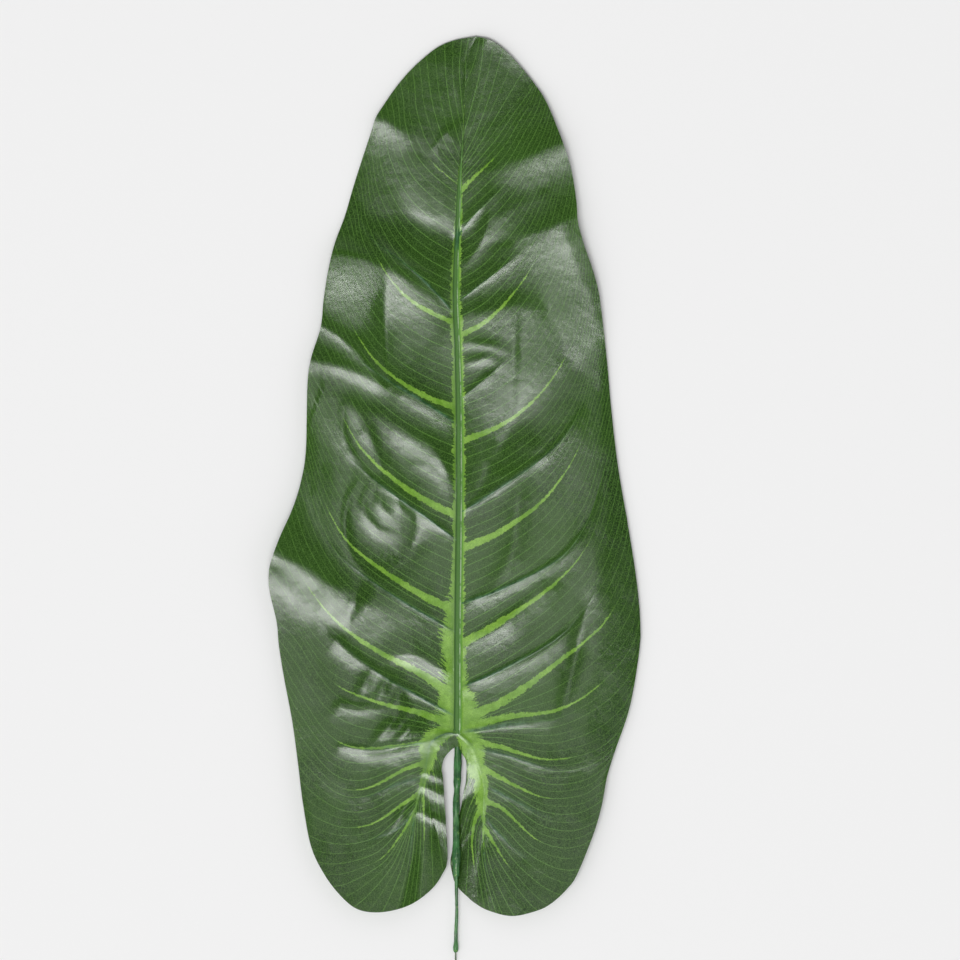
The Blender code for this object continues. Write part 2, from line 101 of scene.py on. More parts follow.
class Half:
    """One half of the blade, whose rows run from its root line out to the margin, from tip to sinus."""

    def __init__(self, guides, basal, margin):
        self.root_line = np.vstack([smooth_line(MIDRIB), smooth_line(basal)[1:]])
        self.margin_line = smooth_line(margin)
        self.paths = [smooth_line(guide[0]) for guide in guides]
        self.values = [guide[1:] for guide in guides]
        self.roots = [station(self.root_line, path[0]) for path in self.paths]
        self.ends = [station(self.margin_line, path[-1]) for path in self.paths]
        self.ends[-1] = distances(self.margin_line)[-1]
        self.hub = station(self.root_line, HUB)

    def row(self, place, fractions):
        """Return the plan points of the row at a place between the guides, counted from 0 at the tip."""
        index = min(int(place), len(self.paths) - 2)
        pair = []
        for path in self.paths[index:index + 2]:
            line = at_distance(path, fractions * distances(path)[-1])
            pair.append(line - (path[0] + np.outer(fractions, path[-1] - path[0])))
        bow = pair[0] + (pair[1] - pair[0]) * (place - index)
        root = at_distance(self.root_line, self.root_of(place))
        end = at_distance(self.margin_line, np.interp(place, range(len(self.paths)), self.ends))
        return root + np.outer(fractions, end - root) + bow

    def root_of(self, place):
        """Return how far along the root line a row starts."""
        return np.interp(place, range(len(self.paths)), self.roots)

    def value(self, which, place):
        """Read one of the guides' values between them."""
        return np.interp(place, range(len(self.paths)), [value[which] for value in self.values])


# Leaf blade: the side ribs under it
# Each guide is one side rib of the moulding, or a plain line between two of them, from its root out
# to the margin: its points, the height of the margin there, and how far along the rib reaches.
RIBS_LEFT = [
    ([TIP, TIP], 2, 0),
    ([(5, 447), (2.5, 465), (-2, 481)], 1.5, 0),
    ([(4, 426.5), (-2, 446), (-8, 462), (-14, 476)], 2, 0),
    ([(3, 406), (-10, 424), (-20, 444), (-26.5, 466)], 2.5, 0),
    ([(1, 375), (-14, 390), (-28, 410), (-43.5, 447)], 2.5, 0),
    ([(-1, 291.5), (-17, 309.5), (-38, 329), (-60, 346), (-72, 368.5), (-74.5, 375.5)], 1.5, 0.84),
    ([(1, 217), (-24, 234), (-52, 251.5), (-73, 268.5), (-90, 291.5), (-92, 300)], 1.5, 0.86),
    ([(1, 139), (-23, 156.5), (-54, 179), (-77, 200), (-95, 228), (-102.5, 246)], 4, 0.8),
    ([(0.3, 75), (-31.5, 93), (-60.5, 112), (-85, 133), (-98, 154), (-107.5, 177)], 5.5, 0.84),
    ([(0.1, 19), (-25, 32.5), (-54, 49), (-78, 69), (-108, 99), (-128, 123)], 8, 0.74),
    ([(-17.5, 2.5), (-41, -0.5), (-70, -1.5), (-90, 9), (-109, 40), (-119, 55)], 8.5, 0.62),
    ([(-22.5, -22), (-41, -26.5), (-65, -35.5), (-87, -34), (-102, -24), (-108, -16)], 8.5, 0.62),
    ([(-29, -44), (-39.5, -56), (-56.5, -64), (-77, -70), (-91, -70), (-101.5, -63.5)], 9.5, 0.6),
    ([(-29, -44), (-37, -62), (-48, -80), (-60, -95), (-74, -107)], 10, 0),
    ([(-29, -44), (-31, -61), (-33, -76.5), (-37, -95.5), (-41.5, -112)], 10, 0.62),
    ([(-26, -33), (-23.5, -52), (-23, -72), (-24, -86), (-26, -104.5)], 7.4, 0),
    ([(-22.5, -22), (-19, -40), (-15, -58), (-11, -70), (-7.2, -75)], 5.4, 0),
    ([(-17.5, 2.5), (-15.5, -5), (-12, -13), (-10.7, -19)], 5.8, 0),
    ([(-8, 8), (-7, 2), (-6, -2), (-5.5, -5)], 6.2, 0),
    ([HUB, SINUS_TOP], 6.6, 0),
]
RIBS_RIGHT = [
    ([TIP, TIP], 2, 0),
    ([(5, 447), (13, 466), (21.5, 481.3)], 3, 0),
    ([(4, 426.5), (12, 444), (24, 462), (31, 475.2)], 3, 0),
    ([(3, 406), (16, 424), (32, 442), (49, 455.4)], 3, 0),
    ([(0.2, 347.5), (12, 363), (31, 383), (50.5, 406), (59.5, 427), (62.5, 434)], 5, 0.4),
    ([(-1.2, 301), (22.5, 319.5), (40, 335), (57.5, 362), (67, 392.5), (72, 411)], 5, 0.45),
    ([(1, 234), (14, 245.5), (35.5, 265), (61.5, 297), (79.5, 334.5), (82, 357)], 4.5, 0.32),
    ([(1.2, 157.5), (19.5, 168.5), (62.5, 199.5), (82, 225.5), (93.5, 256), (99, 286.5)], 4.2, 0.84),
    ([(0.5, 95), (29, 105), (70, 127), (89, 153.5), (100, 191), (105, 227)], 3.2, 0.84),
    ([(0.1, 37.5), (29, 50), (68.5, 73), (90.5, 99), (106, 136.5), (112, 174)], 2.8, 0.74),
    ([HUB, (31.5, 13), (70, 18.5), (101, 30.5), (117.5, 44.5), (122.5, 55)], 3, 0.66),
    ([(11, -2), (33.5, -7), (66.5, -17), (90, -15.5), (104, -7), (109.5, 2)], 4.6, 0.7),
    ([(18, -27), (37, -37), (63.5, -49.5), (83.5, -50), (93.5, -46), (97.5, -43)], 7, 0.7),
    ([(17.5, -46), (27, -59.5), (50.5, -80), (66.5, -87), (74.5, -88.5), (81.5, -88)], 9, 0.66),
    ([(17.5, -65), (23, -80), (33, -95), (45, -106), (55, -112.5)], 9.4, 0),
    ([(17.5, -65), (18.5, -78.5), (21.5, -92), (26, -105), (30, -115)], 8.2, 0.6),
    ([(17.5, -65), (14, -78), (12, -90), (10, -106)], 4.4, 0),
    ([(17.5, -46), (10, -58), (3, -70), (-4.6, -82)], 0.8, 0),
    ([(18, -27), (12, -34), (6, -38), (2.3, -42)], 1.8, 0),
    ([(11, -2), (9, -6), (7, -10), (6, -15)], 5.6, 0),
    ([(5.5, 4), (5, 0), (4, -4), (3.8, -7)], 6.2, 0),
    ([HUB, SINUS_TOP], 6.6, 0),
]

# Leaf blade: its printed veins
# The print is a second, slightly shifted set of lines. Each is its points from root to margin, the
# half-width of the lime vein at its root, how far the lime reaches, and the fine lines up to the next.
VEINS_LEFT = [
    ([TIP, TIP], 0, 0.5, 2),
    ([(4, 426.5), (2.2, 445), (1.4, 463), (3, 482.2)], 0, 0.5, 2),
    ([(3, 406), (-3.5, 428), (-7.5, 452), (-9, 478.6)], 0, 0.5, 2),
    ([(2, 393), (-9.5, 412), (-18, 440), (-22, 470)], 0, 0.5, 3),
    ([(1.2, 383), (-14, 395), (-26, 409), (-32.5, 428), (-33.5, 444), (-35.5, 457)], 0.7, 0.4, 14),
    ([(-0.8, 287.5), (-28, 301), (-46.5, 319), (-63, 350), (-67, 373.5), (-70, 385)], 2.2, 0.6, 9),
    ([(0.7, 229.5), (-21, 238), (-41.5, 250), (-59, 266), (-75.5, 294), (-87, 330)], 2.6, 0.7, 11),
    ([(1.2, 155), (-23, 167), (-46, 183), (-66, 202.5), (-81, 228.5), (-100, 262)], 3.0, 0.75, 10),
    ([(0.6, 91), (-27.5, 105), (-56.5, 124), (-78, 143.5), (-93, 172.5), (-103.5, 209.5)], 3.2, 0.75, 10),
    ([(0.2, 30.5), (-24.5, 48), (-58, 66), (-85.5, 87.5), (-107.5, 118), (-118.5, 146)], 3.6, 0.8, 6),
    ([(0.1, 11), (-24.5, 21), (-58, 30), (-87, 44), (-111.5, 78.5), (-126, 92)], 3.4, 0.6, 5),
    ([(-17.5, 2.5), (-41.5, -0.7), (-70, -1.7), (-90.5, 10), (-111.5, 42), (-120.5, 59.5)], 2.0, 0.55, 5),
    ([(-21, -11.5), (-37, -17), (-61, -29), (-81.5, -28), (-102, -8), (-111, 5.5)], 1.8, 0.6, 5),
    ([(-25.7, -32), (-41.5, -43), (-59, -54), (-77.5, -56.5), (-94, -51), (-105, -43)], 1.6, 0.65, 5),
    ([(-29, -44), (-37.5, -59.5), (-50, -76), (-65, -84), (-80, -88.5), (-90.5, -88.5)], 1.4, 0.6, 6),
    ([(-29, -44), (-31, -61), (-33, -76.5), (-37, -95.5), (-41.5, -112)], 0.3, 0.4, 4),
    ([(-22.5, -22), (-23.5, -38), (-23, -58.5), (-24, -80), (-26, -104.5)], 1.4, 0.6, 3),
    ([(-20.5, -8), (-15, -24), (-13.5, -40), (-11.5, -56), (-7.2, -75)], 0.5, 0.6, 2),
    ([(-17.5, 2.5), (-15.5, -5), (-12, -13), (-10.7, -19)], 0.5, 0.5, 1),
    ([(-8, 8), (-7, 2), (-6, -2), (-5.5, -5)], 0, 0.5, 1),
    ([HUB, SINUS_TOP], 0, 0.5, 1),
]
VEINS_RIGHT = [
    ([TIP, TIP], 0, 0.5, 2),
    ([(3.4, 414), (9.6, 435.7), (15.5, 460), (18, 482.3)], 0, 0.5, 2),
    ([(2.4, 398), (13, 419), (23, 447), (31, 475.2)], 0, 0.5, 3),
    ([(1.7, 388), (19, 410), (37, 434.6), (51.4, 452.4)], 0, 0.5, 3),
    ([(1.2, 377.5), (16, 391.5), (31.5, 407.5), (42, 425), (50, 438), (54, 449)], 2.0, 0.45, 16),
    ([(-0.3, 278), (22.5, 291), (45.5, 318), (61, 348), (70.5, 381.5), (75, 402)], 2.2, 0.5, 12),
    ([(1.2, 207.5), (31.5, 220), (58.5, 242.5), (79, 276.5), (86.5, 312.5), (87.5, 337)], 2.4, 0.6, 12),
    ([(0.9, 132.5), (29, 145.5), (59, 168), (81, 200.5), (93, 239), (100.5, 269.5)], 2.8, 0.66, 10),
    ([(0.3, 69), (29, 85), (65.5, 110.5), (89.5, 139), (103, 179.5), (108, 202.5)], 3.2, 0.66, 8),
    ([(0.2, 15.7), (33.5, 31.5), (70, 58), (98.5, 82), (113.5, 109), (119, 131.5)], 4.2, 0.8, 4),
    ([(0.1, 9.6), (31.5, 18.5), (70, 24.5), (99, 43), (117.5, 65), (124.5, 85)], 3.2, 0.72, 6),
    ([(5.5, 4), (27, -0.5), (61, -9.5), (90.5, -4.8), (109.5, 9), (117, 24.5)], 2.6, 0.6, 6),
    ([(15, -14), (33.5, -24.5), (59.5, -35.5), (83.5, -34), (97, -26), (101.5, -22)], 2.4, 0.6, 6),
    ([(18, -37), (31.5, -43.5), (52, -63.5), (70, -70.5), (83.5, -69), (90.5, -65)], 2.0, 0.62, 5),
    ([(17.5, -55), (22.5, -63), (33, -80), (46, -95.5), (55, -104.5), (61.5, -109)], 1.8, 0.5, 4),
    ([(17.5, -65), (18.5, -78.5), (21.5, -92), (26, -105), (30, -115)], 0.4, 0.4, 4),
    ([(16, -40), (10, -52), (8.5, -66), (10, -80), (14.5, -110)], 2.2, 0.7, 3),
    ([(17, -22), (8, -42), (4, -56), (0, -70), (-4.6, -82)], 0.5, 0.5, 3),
    ([(11, -2), (9, -6), (7, -10), (6, -15)], 0, 0.5, 1),
    ([(5.5, 4), (5, 0), (4, -4), (3.8, -7)], 0, 0.5, 1),
    ([HUB, SINUS_TOP], 0, 0.5, 1),
]

LEFT = Half(RIBS_LEFT, BASAL_LEFT, MARGIN_LEFT)
RIGHT = Half(RIBS_RIGHT, BASAL_RIGHT, MARGIN_RIGHT)
PRINT_LEFT = Half(VEINS_LEFT, BASAL_LEFT, MARGIN_LEFT)
PRINT_RIGHT = Half(VEINS_RIGHT, BASAL_RIGHT, MARGIN_RIGHT)

# Leaf blade: its relief
# Heat and the moulding give the cloth its shape: a raised ridge over the midrib, a thin one over each
# side rib, hollows between them, a waved margin, and the swells and folds that catch the light.
MM = 0.001
HUB_AT = (2.3, -148.5)              # where the stem leaves the blade, in the frame's millimetres
CLOTH_THICKNESS = 0.45
CLOTH_ABOVE_FRAME = 0.5

# Along the root line, from the tip down the midrib and out along a basal rib: the crest's height, the rise
# and half-width of its ridge, how much of the ridge shows, and how dark the line over a basal rib is.
ROOT_HEIGHTS = [(0, 2.0), (60, 2.0), (200, 3.2), (350, 4.8), (476, 6.3), (500, 6.4), (540, 5.6), (560, 5.2)]
RIDGE_RISES = [(0, 0), (55, 0.2), (110, 1.2), (300, 1.5), (470, 1.4), (488, 0), (560, 0)]
RIDGE_HALF_WIDTHS = [(0, 2.0), (60, 2.0), (200, 2.8), (470, 3.3), (488, 3.0), (560, 2.5)]
RIDGE_SHOWS = [(52, 0), (112, 1), (474, 1), (479, 0)]
BASAL_LINE_SHOWS = [(476, 0), (479, 1), (492, 1), (502, 0.3)]
RIDGE_COLUMNS = np.array([0, 0.6, 1.2, 1.9, 2.6, 3.3, 4.0])
QUILT_DEPTH = 1.1
CAMBER = 1.2
FULL_RELIEF_LENGTH = 80             # a shorter row has less camber and quilting
FULL_RIDGE_LENGTH = 25              # and a much shorter one a lower midrib ridge
FAN_GUIDE = 12                      # the guide from which the cloth lies plain in the lobe's fan
SIDE_RIDGE_RISES = (0.08, 0.3)      # left and right half
SIDE_RIDGE_WIDTH = 1.7
ROW_STEP = 2.2
NEAR_RIB = (-1.3, -0.6, 0.6, 1.3)
COLUMNS = 65


def listed(pairs, where):
    """Read a value from a list of (position, value) pairs."""
    return np.interp(where, *zip(*pairs))


def filled(wanted, spacing):
    """Return the wanted distances in order, with more between them wherever they lie far apart."""
    full = [min(wanted)]
    for stop in sorted(wanted)[1:]:
        start = full[-1]
        if stop - start < 0.3:
            continue
        pieces = max(1, round((stop - start) / spacing))
        full.extend(start + (stop - start) * step / pieces for step in range(1, pieces + 1))
    return full


def rows_of(half):
    """Return the places of a half's rows: down the midrib, out along the basal rib, round its end and back."""
    midrib = {0.0, LEFT.hub}
    for root in LEFT.roots + RIGHT.roots:
        if 70 < root < LEFT.hub - 1:
            midrib.update(root + offset for offset in (0, *NEAR_RIB))
    midrib = [where for where in filled(midrib, ROW_STEP) if where < LEFT.hub - 0.3] + [LEFT.hub]
    roots = np.array(half.roots)
    out, back = np.flatnonzero(roots == roots.max())[[0, -1]]
    basal = {half.hub, roots.max()}
    for root in roots[roots > half.hub + 1]:
        basal.update(where for where in (root - 0.8, root, root + 0.8) if half.hub < where < roots.max())
    basal = filled(basal, ROW_STEP * 0.7)
    going = np.interp(midrib[:-1] + basal, roots[:out + 1], range(out + 1))
    fan = np.linspace(out, back, 14 * (back - out) + 1)[1:-1]
    coming = np.interp([-where for where in basal[::-1]], -roots[back:], range(back, len(roots)))
    return [*going, *fan, *coming]


def base_height(half, place, fractions, length):
    """Return a row's heights before its swells and folds, and how much the side rib shows along it."""
    root = half.root_of(place)
    crest = listed(ROOT_HEIGHTS, root)
    part = place % 1
    eased = int(place) + part ** 2 * (3 - 2 * part)
    edge = half.value(0, eased)
    size = min(length / FULL_RELIEF_LENGTH, 1)
    between = math.sin(math.pi * part) * np.clip((half.value(1, eased) - fractions) / 0.35, 0, 1)
    arch = np.sin(np.pi * fractions)
    foot = crest - listed(RIDGE_RISES, root) * min(length / FULL_RIDGE_LENGTH, 1)
    outward = np.clip((FAN_GUIDE - place) / 3, 0, 1)
    surface = foot + (edge - foot) * fractions ** (1 + 0.6 * outward) + CAMBER * size * outward * arch
    surface = surface - QUILT_DEPTH * size * between * arch * max(outward, 0.12)
    out = fractions * length
    ridge = (1 + np.cos(np.pi * np.clip(out / listed(RIDGE_HALF_WIDTHS, root), 0, 1))) / 2
    nearest = int(round(place))
    reach = half.values[nearest][1]
    off = np.hypot(*(half.row(place, fractions) - half.row(nearest, fractions)).T)
    tent = np.clip(1 - off / (SIDE_RIDGE_WIDTH + 0.4 * fractions), 0, 1) * np.clip((reach - fractions) / 0.6, 0, 1)
    tent = tent * tent * (3 - 2 * tent)
    rise = SIDE_RIDGE_RISES[half is RIGHT] * np.clip(10.5 - place, 0.3, 1)
    side_ridge = rise * tent * np.clip(out / 10 - 0.3, 0, 1) * min(length / 60, 1)
    heights = np.maximum(surface + (crest - surface) * ridge + side_ridge, 0)
    return heights, tent * np.clip(1.3 - out / 100, 0.25, 1) * np.clip(out / 8 - 0.2, 0, 1)


# Folds pressed or crumpled into the cloth. Each is its crest, its height at the start, middle and end,
# below zero for a groove, and how wide it falls off on its bright and its dark side.
FOLDS = [
    ([(-72, 436), (-56, 429.5), (-41, 420), (-30, 411.5)], (2.8, 2.4, 0.4), 12, 12),
    ([(1, 424), (-7.5, 418), (-14, 410)], (0.3, 0.9, 0.5), 6, 3),
    ([(-42, 379), (-35.5, 365), (-23, 354.5), (-4, 347.5)], (-0.5, -1.8, -1.3), 16, 12),
    ([(-72, 372), (-62.5, 353), (-50.5, 339.5), (-38, 329.5), (-19, 321)], (0.4, 1, 0.6), 4, 3),
    ([(-3, 344.5), (-8.5, 334), (-15, 324)], (-0.7, -0.8, -0.2), 3, 3),
    ([(-90, 336.5), (-73.5, 334), (-53, 327), (-31, 313.5), (-6.5, 295.5)], (7, 5, 0.3), 46, 12),
    ([(-47.5, 324), (-49, 304), (-49, 273), (-46, 243.5)], (-1, -2, -1.4), 7, 7),
    ([(-95.5, 288.5), (-80.5, 279), (-66.5, 267), (-53, 253)], (1.8, 1.8, 0.8), 6, 4),
    ([(-101.5, 263.5), (-77, 257.5), (-53, 246.5), (-29, 235.5), (-5.5, 222)], (2.6, 2.6, 1.4), 9, 10),
    ([(-75, 232), (-58.5, 226), (-43, 217), (-30.5, 208), (-12, 193)], (1.6, 3.2, 1.8), 16, 14),
    ([(-110.5, 235.5), (-113, 208), (-120, 167), (-127, 147)], (3.5, 5, 3.5), 24, 24),
    ([(-132, 131.5), (-107.5, 122), (-80.5, 106), (-60, 95)], (5.6, 5.4, 2.6), 30, 16),
    ([(-77.5, 231.5), (-78.5, 213.5), (-73, 200)], (0.5, 0.8, 0.5), 2.5, 2.5),
    ([(-49, 179.5), (-38, 187.5), (-22.5, 190.5), (-8, 177)], (0.15, 0.25, 0.15), 2.5, 2.5),
    ([(-73, 200), (-57, 180), (-36, 166), (-5.5, 143.5)], (0.3, 0.4, 0.3), 2, 2),
    ([(-68, 181), (-76, 162), (-76, 140), (-68, 123.5), (-53.5, 113.5)], (0.4, 0.9, 0.5), 2.5, 2),
    ([(-60.5, 175.5), (-64.5, 162), (-56, 148), (-42, 143.5)], (0.4, 0.9, 0.3), 2.5, 2.5),
    ([(-51.5, 177), (-53.5, 165), (-45.5, 156.5)], (0.4, 0.8, 0.3), 2.5, 2),
    ([(-42, 172.5), (-40, 163), (-32.5, 157.5)], (0.4, 0.8, 0.3), 2.5, 2),
    ([(-28, 167), (-28, 140), (-39.5, 125.5), (-53, 113.5)], (-0.6, -1.5, -0.9), 10, 6),
    ([(-50.5, 55.5), (-32.5, 62), (-12, 52.5)], (1, 2, 1.6), 6, 9),
    ([(-65.5, 108.5), (-75.5, 85.5)], (0.6, 1.3, 0.6), 4, 4),
    ([(-142, 122), (-128, 114.5), (-107.5, 96), (-77, 71.5), (-49.5, 55.5)], (-1.8, -3, -1.6), 50, 18),
    ([(-83, 71.5), (-70, 59.5), (-49.5, 47), (-29, 35), (-5.5, 22)], (1.4, 0.5, 0.1), 6, 3),
    ([(-58.5, 50), (-68, 35)], (0.8, 2, 0.8), 4.5, 3),
    ([(-47.5, 44.5), (-57, 29.5)], (0.8, 2, 0.8), 4.5, 3),
    ([(-36.5, 37.5), (-46, 25.5)], (0.8, 2, 0.8), 4.5, 3),
    ([(-80.5, 28), (-63.5, 25.5), (-41.5, 26.5)], (1.2, 1.2, 0.3), 6, 3),
    ([(-38, 22.5), (-56, 3.5)], (0.8, 2.2, 0.8), 5, 3.5),
    ([(-25.5, 20), (-41, 3.5)], (0.8, 2.2, 0.8), 5, 3.5),
    ([(-79, -0.5), (-53.5, -3.5), (-17, 4)], (0.8, 0.9, 0.5), 4, 2),
    ([(-22.5, -18.5), (-10.5, -22.5)], (0.8, 1.1, 0.8), 3, 3),
    ([(-23.5, -28), (-7.5, -35)], (0.9, 1.2, 1), 3.5, 3),
    ([(-26.5, -44.5), (-7.5, -54)], (0.9, 1.2, 1), 3.5, 3),
    ([(-31, -36), (-46, -58)], (0.4, 1.2, 0.4), 4, 3),
    ([(94.5, 417), (59.5, 406), (35.5, 396), (16.5, 390)], (3.4, 2.8, 0.6), 22, 12),
    ([(97, 366.5), (70, 355.5), (42.5, 344)], (3.8, 4.4, 1.6), 50, 12),
    ([(2.5, 355), (11, 362), (25, 376)], (0.7, 0.7, 0.3), 4, 2.5),
    ([(21.5, 366.5), (18, 347.5), (7, 331)], (0.4, 1.6, 0.7), 5, 4),
    ([(3.5, 308), (21.5, 319), (43, 335)], (0.5, 0.7, 0.3), 3, 5),
    ([(5.5, 293.5), (23.5, 296), (42.5, 299.5), (61.5, 294)], (1.4, 2.4, 0.2), 22, 9),
    ([(6.5, 275), (22, 272.5), (33, 268.5)], (0.6, 1, 0.5), 3, 3),
    ([(7.5, 261.5), (20.5, 264), (29, 260)], (0.5, 1, 0.3), 3, 3),
    ([(5, 239), (19.5, 250), (33, 263)], (0.6, 0.7, 0.2), 4, 2.5),
    ([(45.5, 235.5), (30, 208), (14, 178)], (-1, -2.8, -1.6), 14, 12),
    ([(20.5, 193), (29, 183.5), (37, 187.5)], (0.3, 0.9, 0.3), 2.5, 2.5),
    ([(50.5, 208), (59, 198.5)], (0.3, 0.9, 0.3), 2.5, 2.5),
    ([(5.5, 161), (35, 179.5), (66.5, 202), (83.5, 225.5)], (0.5, 0.6, 0.3), 3.5, 2),
    ([(41, 167), (38.5, 136.5), (30, 115.5), (14, 97.5)], (1.2, 1.6, 0.3), 10, 8),
    ([(6.5, 96), (47.5, 112.5), (70, 127), (84, 142)], (0.4, 0.5, 0.3), 2.5, 2),
    ([(7.5, 70.5), (29, 81), (45.5, 95), (57, 105)], (0.8, 2.2, 1.2), 10, 5),
    ([(3, 37.5), (33.5, 52), (65.5, 71), (83, 88.5)], (0.4, 0.5, 0.3), 2.5, 2),
    ([(89, 99), (81.5, 65), (72.5, 29.5)], (-0.8, -1.8, -0.8), 6, 6),
    ([(2.5, 9), (42.5, 15.5), (80, 28.5)], (0.2, 0.3, 0.1), 2.5, 2),
    ([(16.5, 353), (32.5, 362.5), (50.5, 370)], (0.6, 1.4, 0.6), 30, 10),
    ([(104, 280.5), (87, 263), (70, 245.5), (59.5, 232)], (-1.6, -2.2, -0.8), 30, 14),
    ([(8.5, 491), (30, 486.5), (48, 471.5), (61.5, 451)], (1.6, 2.2, 0.4), 9, 9),
    ([(78, 235.5), (85, 181), (91.5, 126.5), (91.5, 71.5), (83.5, 10)], (0.4, 1.5, 0.6), 16, 40),
    ([(-72, 233), (-62.5, 215), (-53, 193)], (0.8, 2, 1.2), 7, 7),
    ([(-31, 211), (-17.5, 204), (-8, 187.5), (-4, 174)], (0.5, 1.4, 0.6), 8, 6),
]
SWELL = ((-49, 162), (28, 22), 2.4)     # its middle, its two half-axes and its height
BRIGHT_SIDE = (0.5, -0.87)


def relief(points):
    """Return the height that the folds and the swell add at plan points."""
    total = np.zeros(len(points))
    for crest, heights, bright_width, dark_width in FOLDS:
        line = smooth_line(crest, 5)
        along = distances(line)
        nearest = np.full(len(points), 1e9)
        offset = np.zeros((len(points), 2))
        where = np.zeros(len(points))
        for start, end, begun in zip(line, line[1:], along):
            step = end - start
            share = np.clip((points - start) @ step / (step @ step), 0, 1)
            away = points - start - np.outer(share, step)
            gap = np.hypot(*away.T)
            closer = gap < nearest
            nearest[closer], offset[closer] = gap[closer], away[closer]
            where[closer] = (begun + share * np.hypot(*step))[closer]
        facing = np.clip(0.5 + 1.2 * (offset @ BRIGHT_SIDE) / np.maximum(nearest, 1e-6), 0, 1)
        width = dark_width + (bright_width - dark_width) * facing
        height = np.interp(where / along[-1], (0, 0.5, 1), heights)
        total += height * np.exp(0.3 - np.sqrt((nearest / width) ** 2 + 0.09))
    middle, half_axes, rise = SWELL
    return total + rise * np.exp(-(((points - middle) / half_axes) ** 2).sum(axis=1))


def half_grid(half):
    """Return a half's rows as arrays of x, y, z in millimetres, how much the rib beneath shows, and the
    half-width of the midrib's ridge."""
    grid = []
    for place in rows_of(half):
        length = max(distances(half.row(place, np.linspace(0, 1, 13)))[-1], 0.01)
        ridge_part = np.minimum(RIDGE_COLUMNS / length, np.arange(len(RIDGE_COLUMNS)) / (COLUMNS - 1))
        rest = np.linspace(ridge_part[-1], 1, COLUMNS - len(RIDGE_COLUMNS) + 1)[1:]
        fractions = np.concatenate([ridge_part, rest])
        plan = half.row(place, fractions)
        heights, shade = base_height(half, place, fractions, length)
        root = half.root_of(place)
        basal = listed(BASAL_LINE_SHOWS, root) * (1.0 if half is LEFT else 0.3)
        shade = np.maximum(shade, basal * np.clip(1.1 - fractions * length / 1.7, 0, 1))
        ridge = np.full(COLUMNS, listed(RIDGE_HALF_WIDTHS, root) * listed(RIDGE_SHOWS, root))
        grid.append(np.column_stack([plan, heights, shade, ridge]))
    return np.array(grid)


# The print's values at each point: its place between the veins, how far it is from the midrib, the veins'
# spacing, the vein's half-width, its place between the fine lines, their spacing, and the band's width.
PRINT_VALUES = ("vein", "reach", "spacing", "lime", "lines", "gap", "band")
BANDS_LEFT = [(0, 0), (2.2, 0), (3, 1.5), (4, 2.2), (5, 4.5), (7.5, 4.8), (7.9, 7), (8.25, 12), (9, 14.5),
              (10, 16), (11, 8), (12, 4), (13, 2.5), (14, 1), (15, 1), (16, 4), (17, 9), (18, 10), (19, 5), (20, 0)]
BANDS_RIGHT = [(0, 0.4), (3, 1.2), (4, 3), (5, 4), (7, 4), (8, 4.5), (8.6, 8), (9, 17), (10, 16), (11, 10),
               (12, 4), (13, 2.5), (14, 1.5), (15, 1), (15.6, 2), (16, 7), (17, 12), (18, 14), (20, 6)]


def print_field(half, points, bands):
    """Return what the print needs at plan points, in the order of PRINT_VALUES."""
    steps, parts = 16, 41
    places = np.linspace(0, len(half.paths) - 1, steps * (len(half.paths) - 1) + 1)
    fractions = np.linspace(0, 1, parts)
    grid = np.array([half.row(place, fractions) for place in places])
    tree = kdtree.KDTree(grid.shape[0] * parts)
    for number, (x, y) in enumerate(grid.reshape(-1, 2)):
        tree.insert((x, y, 0), number)
    tree.balance()
    down = np.gradient(grid, axis=0) * steps
    out = np.gradient(grid, axis=1) * (parts - 1)
    field = np.zeros((len(points), len(PRINT_VALUES)))
    counts = np.concatenate([[0], np.cumsum([value[2] for value in half.values[:-1]])])
    for number, point in enumerate(points):
        row, column = divmod(tree.find((point[0], point[1], 0))[1], parts)
        down_step, out_step = down[row, column], out[row, column]
        away = point - grid[row, column]
        spread = down_step[0] * out_step[1] - down_step[1] * out_step[0]
        place, fraction = places[row], fractions[column]
        if abs(spread) >= 1e-6:
            place += np.clip((away[0] * out_step[1] - away[1] * out_step[0]) / spread, -0.04, 0.04)
            fraction += np.clip((down_step[0] * away[1] - down_step[1] * away[0]) / spread, -0.02, 0.02)
        length = np.linalg.norm(out_step)
        spacing = abs(spread) / max(length, 1e-6)
        lime = half.value(0, place) * (1 - np.clip(fraction / half.value(1, place), 0, 1.2) ** 0.8)
        lines = np.interp(place, range(len(counts)), counts)
        gap = spacing / half.values[min(int(place), len(half.values) - 1)][2]
        field[number] = (place, fraction * max(length, 1), spacing, lime, lines, gap, listed(bands, place))
    return field


# Darker blue-green marks: narrow lines where the print is doubled, and wide bands of painted shade.
# The wide bands of painted shade lie over the right margin and the right lobe. Each mark is its points, half-width
# and strength.
DOUBLED_PRINT_AND_SHADE = [([(46, 183), (70, 167), (97, 143), (122, 114)], 2.6, 0.7),
          ([(46, 355), (72, 335), (98, 310)], 3.2, 0.5),
          ([(70, 273), (88, 252), (106, 229)], 3.0, 0.7),
          ([(110, 190), (126, 120), (126, 60), (112, 0)], 22, 0.9),
          ([(100, 265), (106, 225), (112, 185)], 16, 0.8),
          ([(70, 80), (76, 30), (72, -10)], 3.0, 0.5),
          ([(62, 190), (84, 170), (84, 140)], 2.0, 0.6),
          ([(60, -95), (90, -70), (104, -30)], 14, 0.5),
          ([(10, -80), (40, -100), (60, -108)], 18, 0.4),
          ([(30, -50), (60, -60), (90, -45)], 30, 0.4),
          ([(95, 300), (100, 265)], 14, 0.5),
          ([(84, 262), (76, 240)], 16, 0.5)]


def doubled_print_and_shade(points):
    """Return how strongly the doubled print and the painted shade darken the cloth at plan points."""
    total = np.zeros(len(points))
    for line, width, strength in DOUBLED_PRINT_AND_SHADE:
        gaps = [np.hypot(*(points - at).T) for at in smooth_line(line, max(2, round(60 / width)))]
        total = np.maximum(total, strength * np.exp(-(np.min(gaps, axis=0) / width) ** 2))
    return total


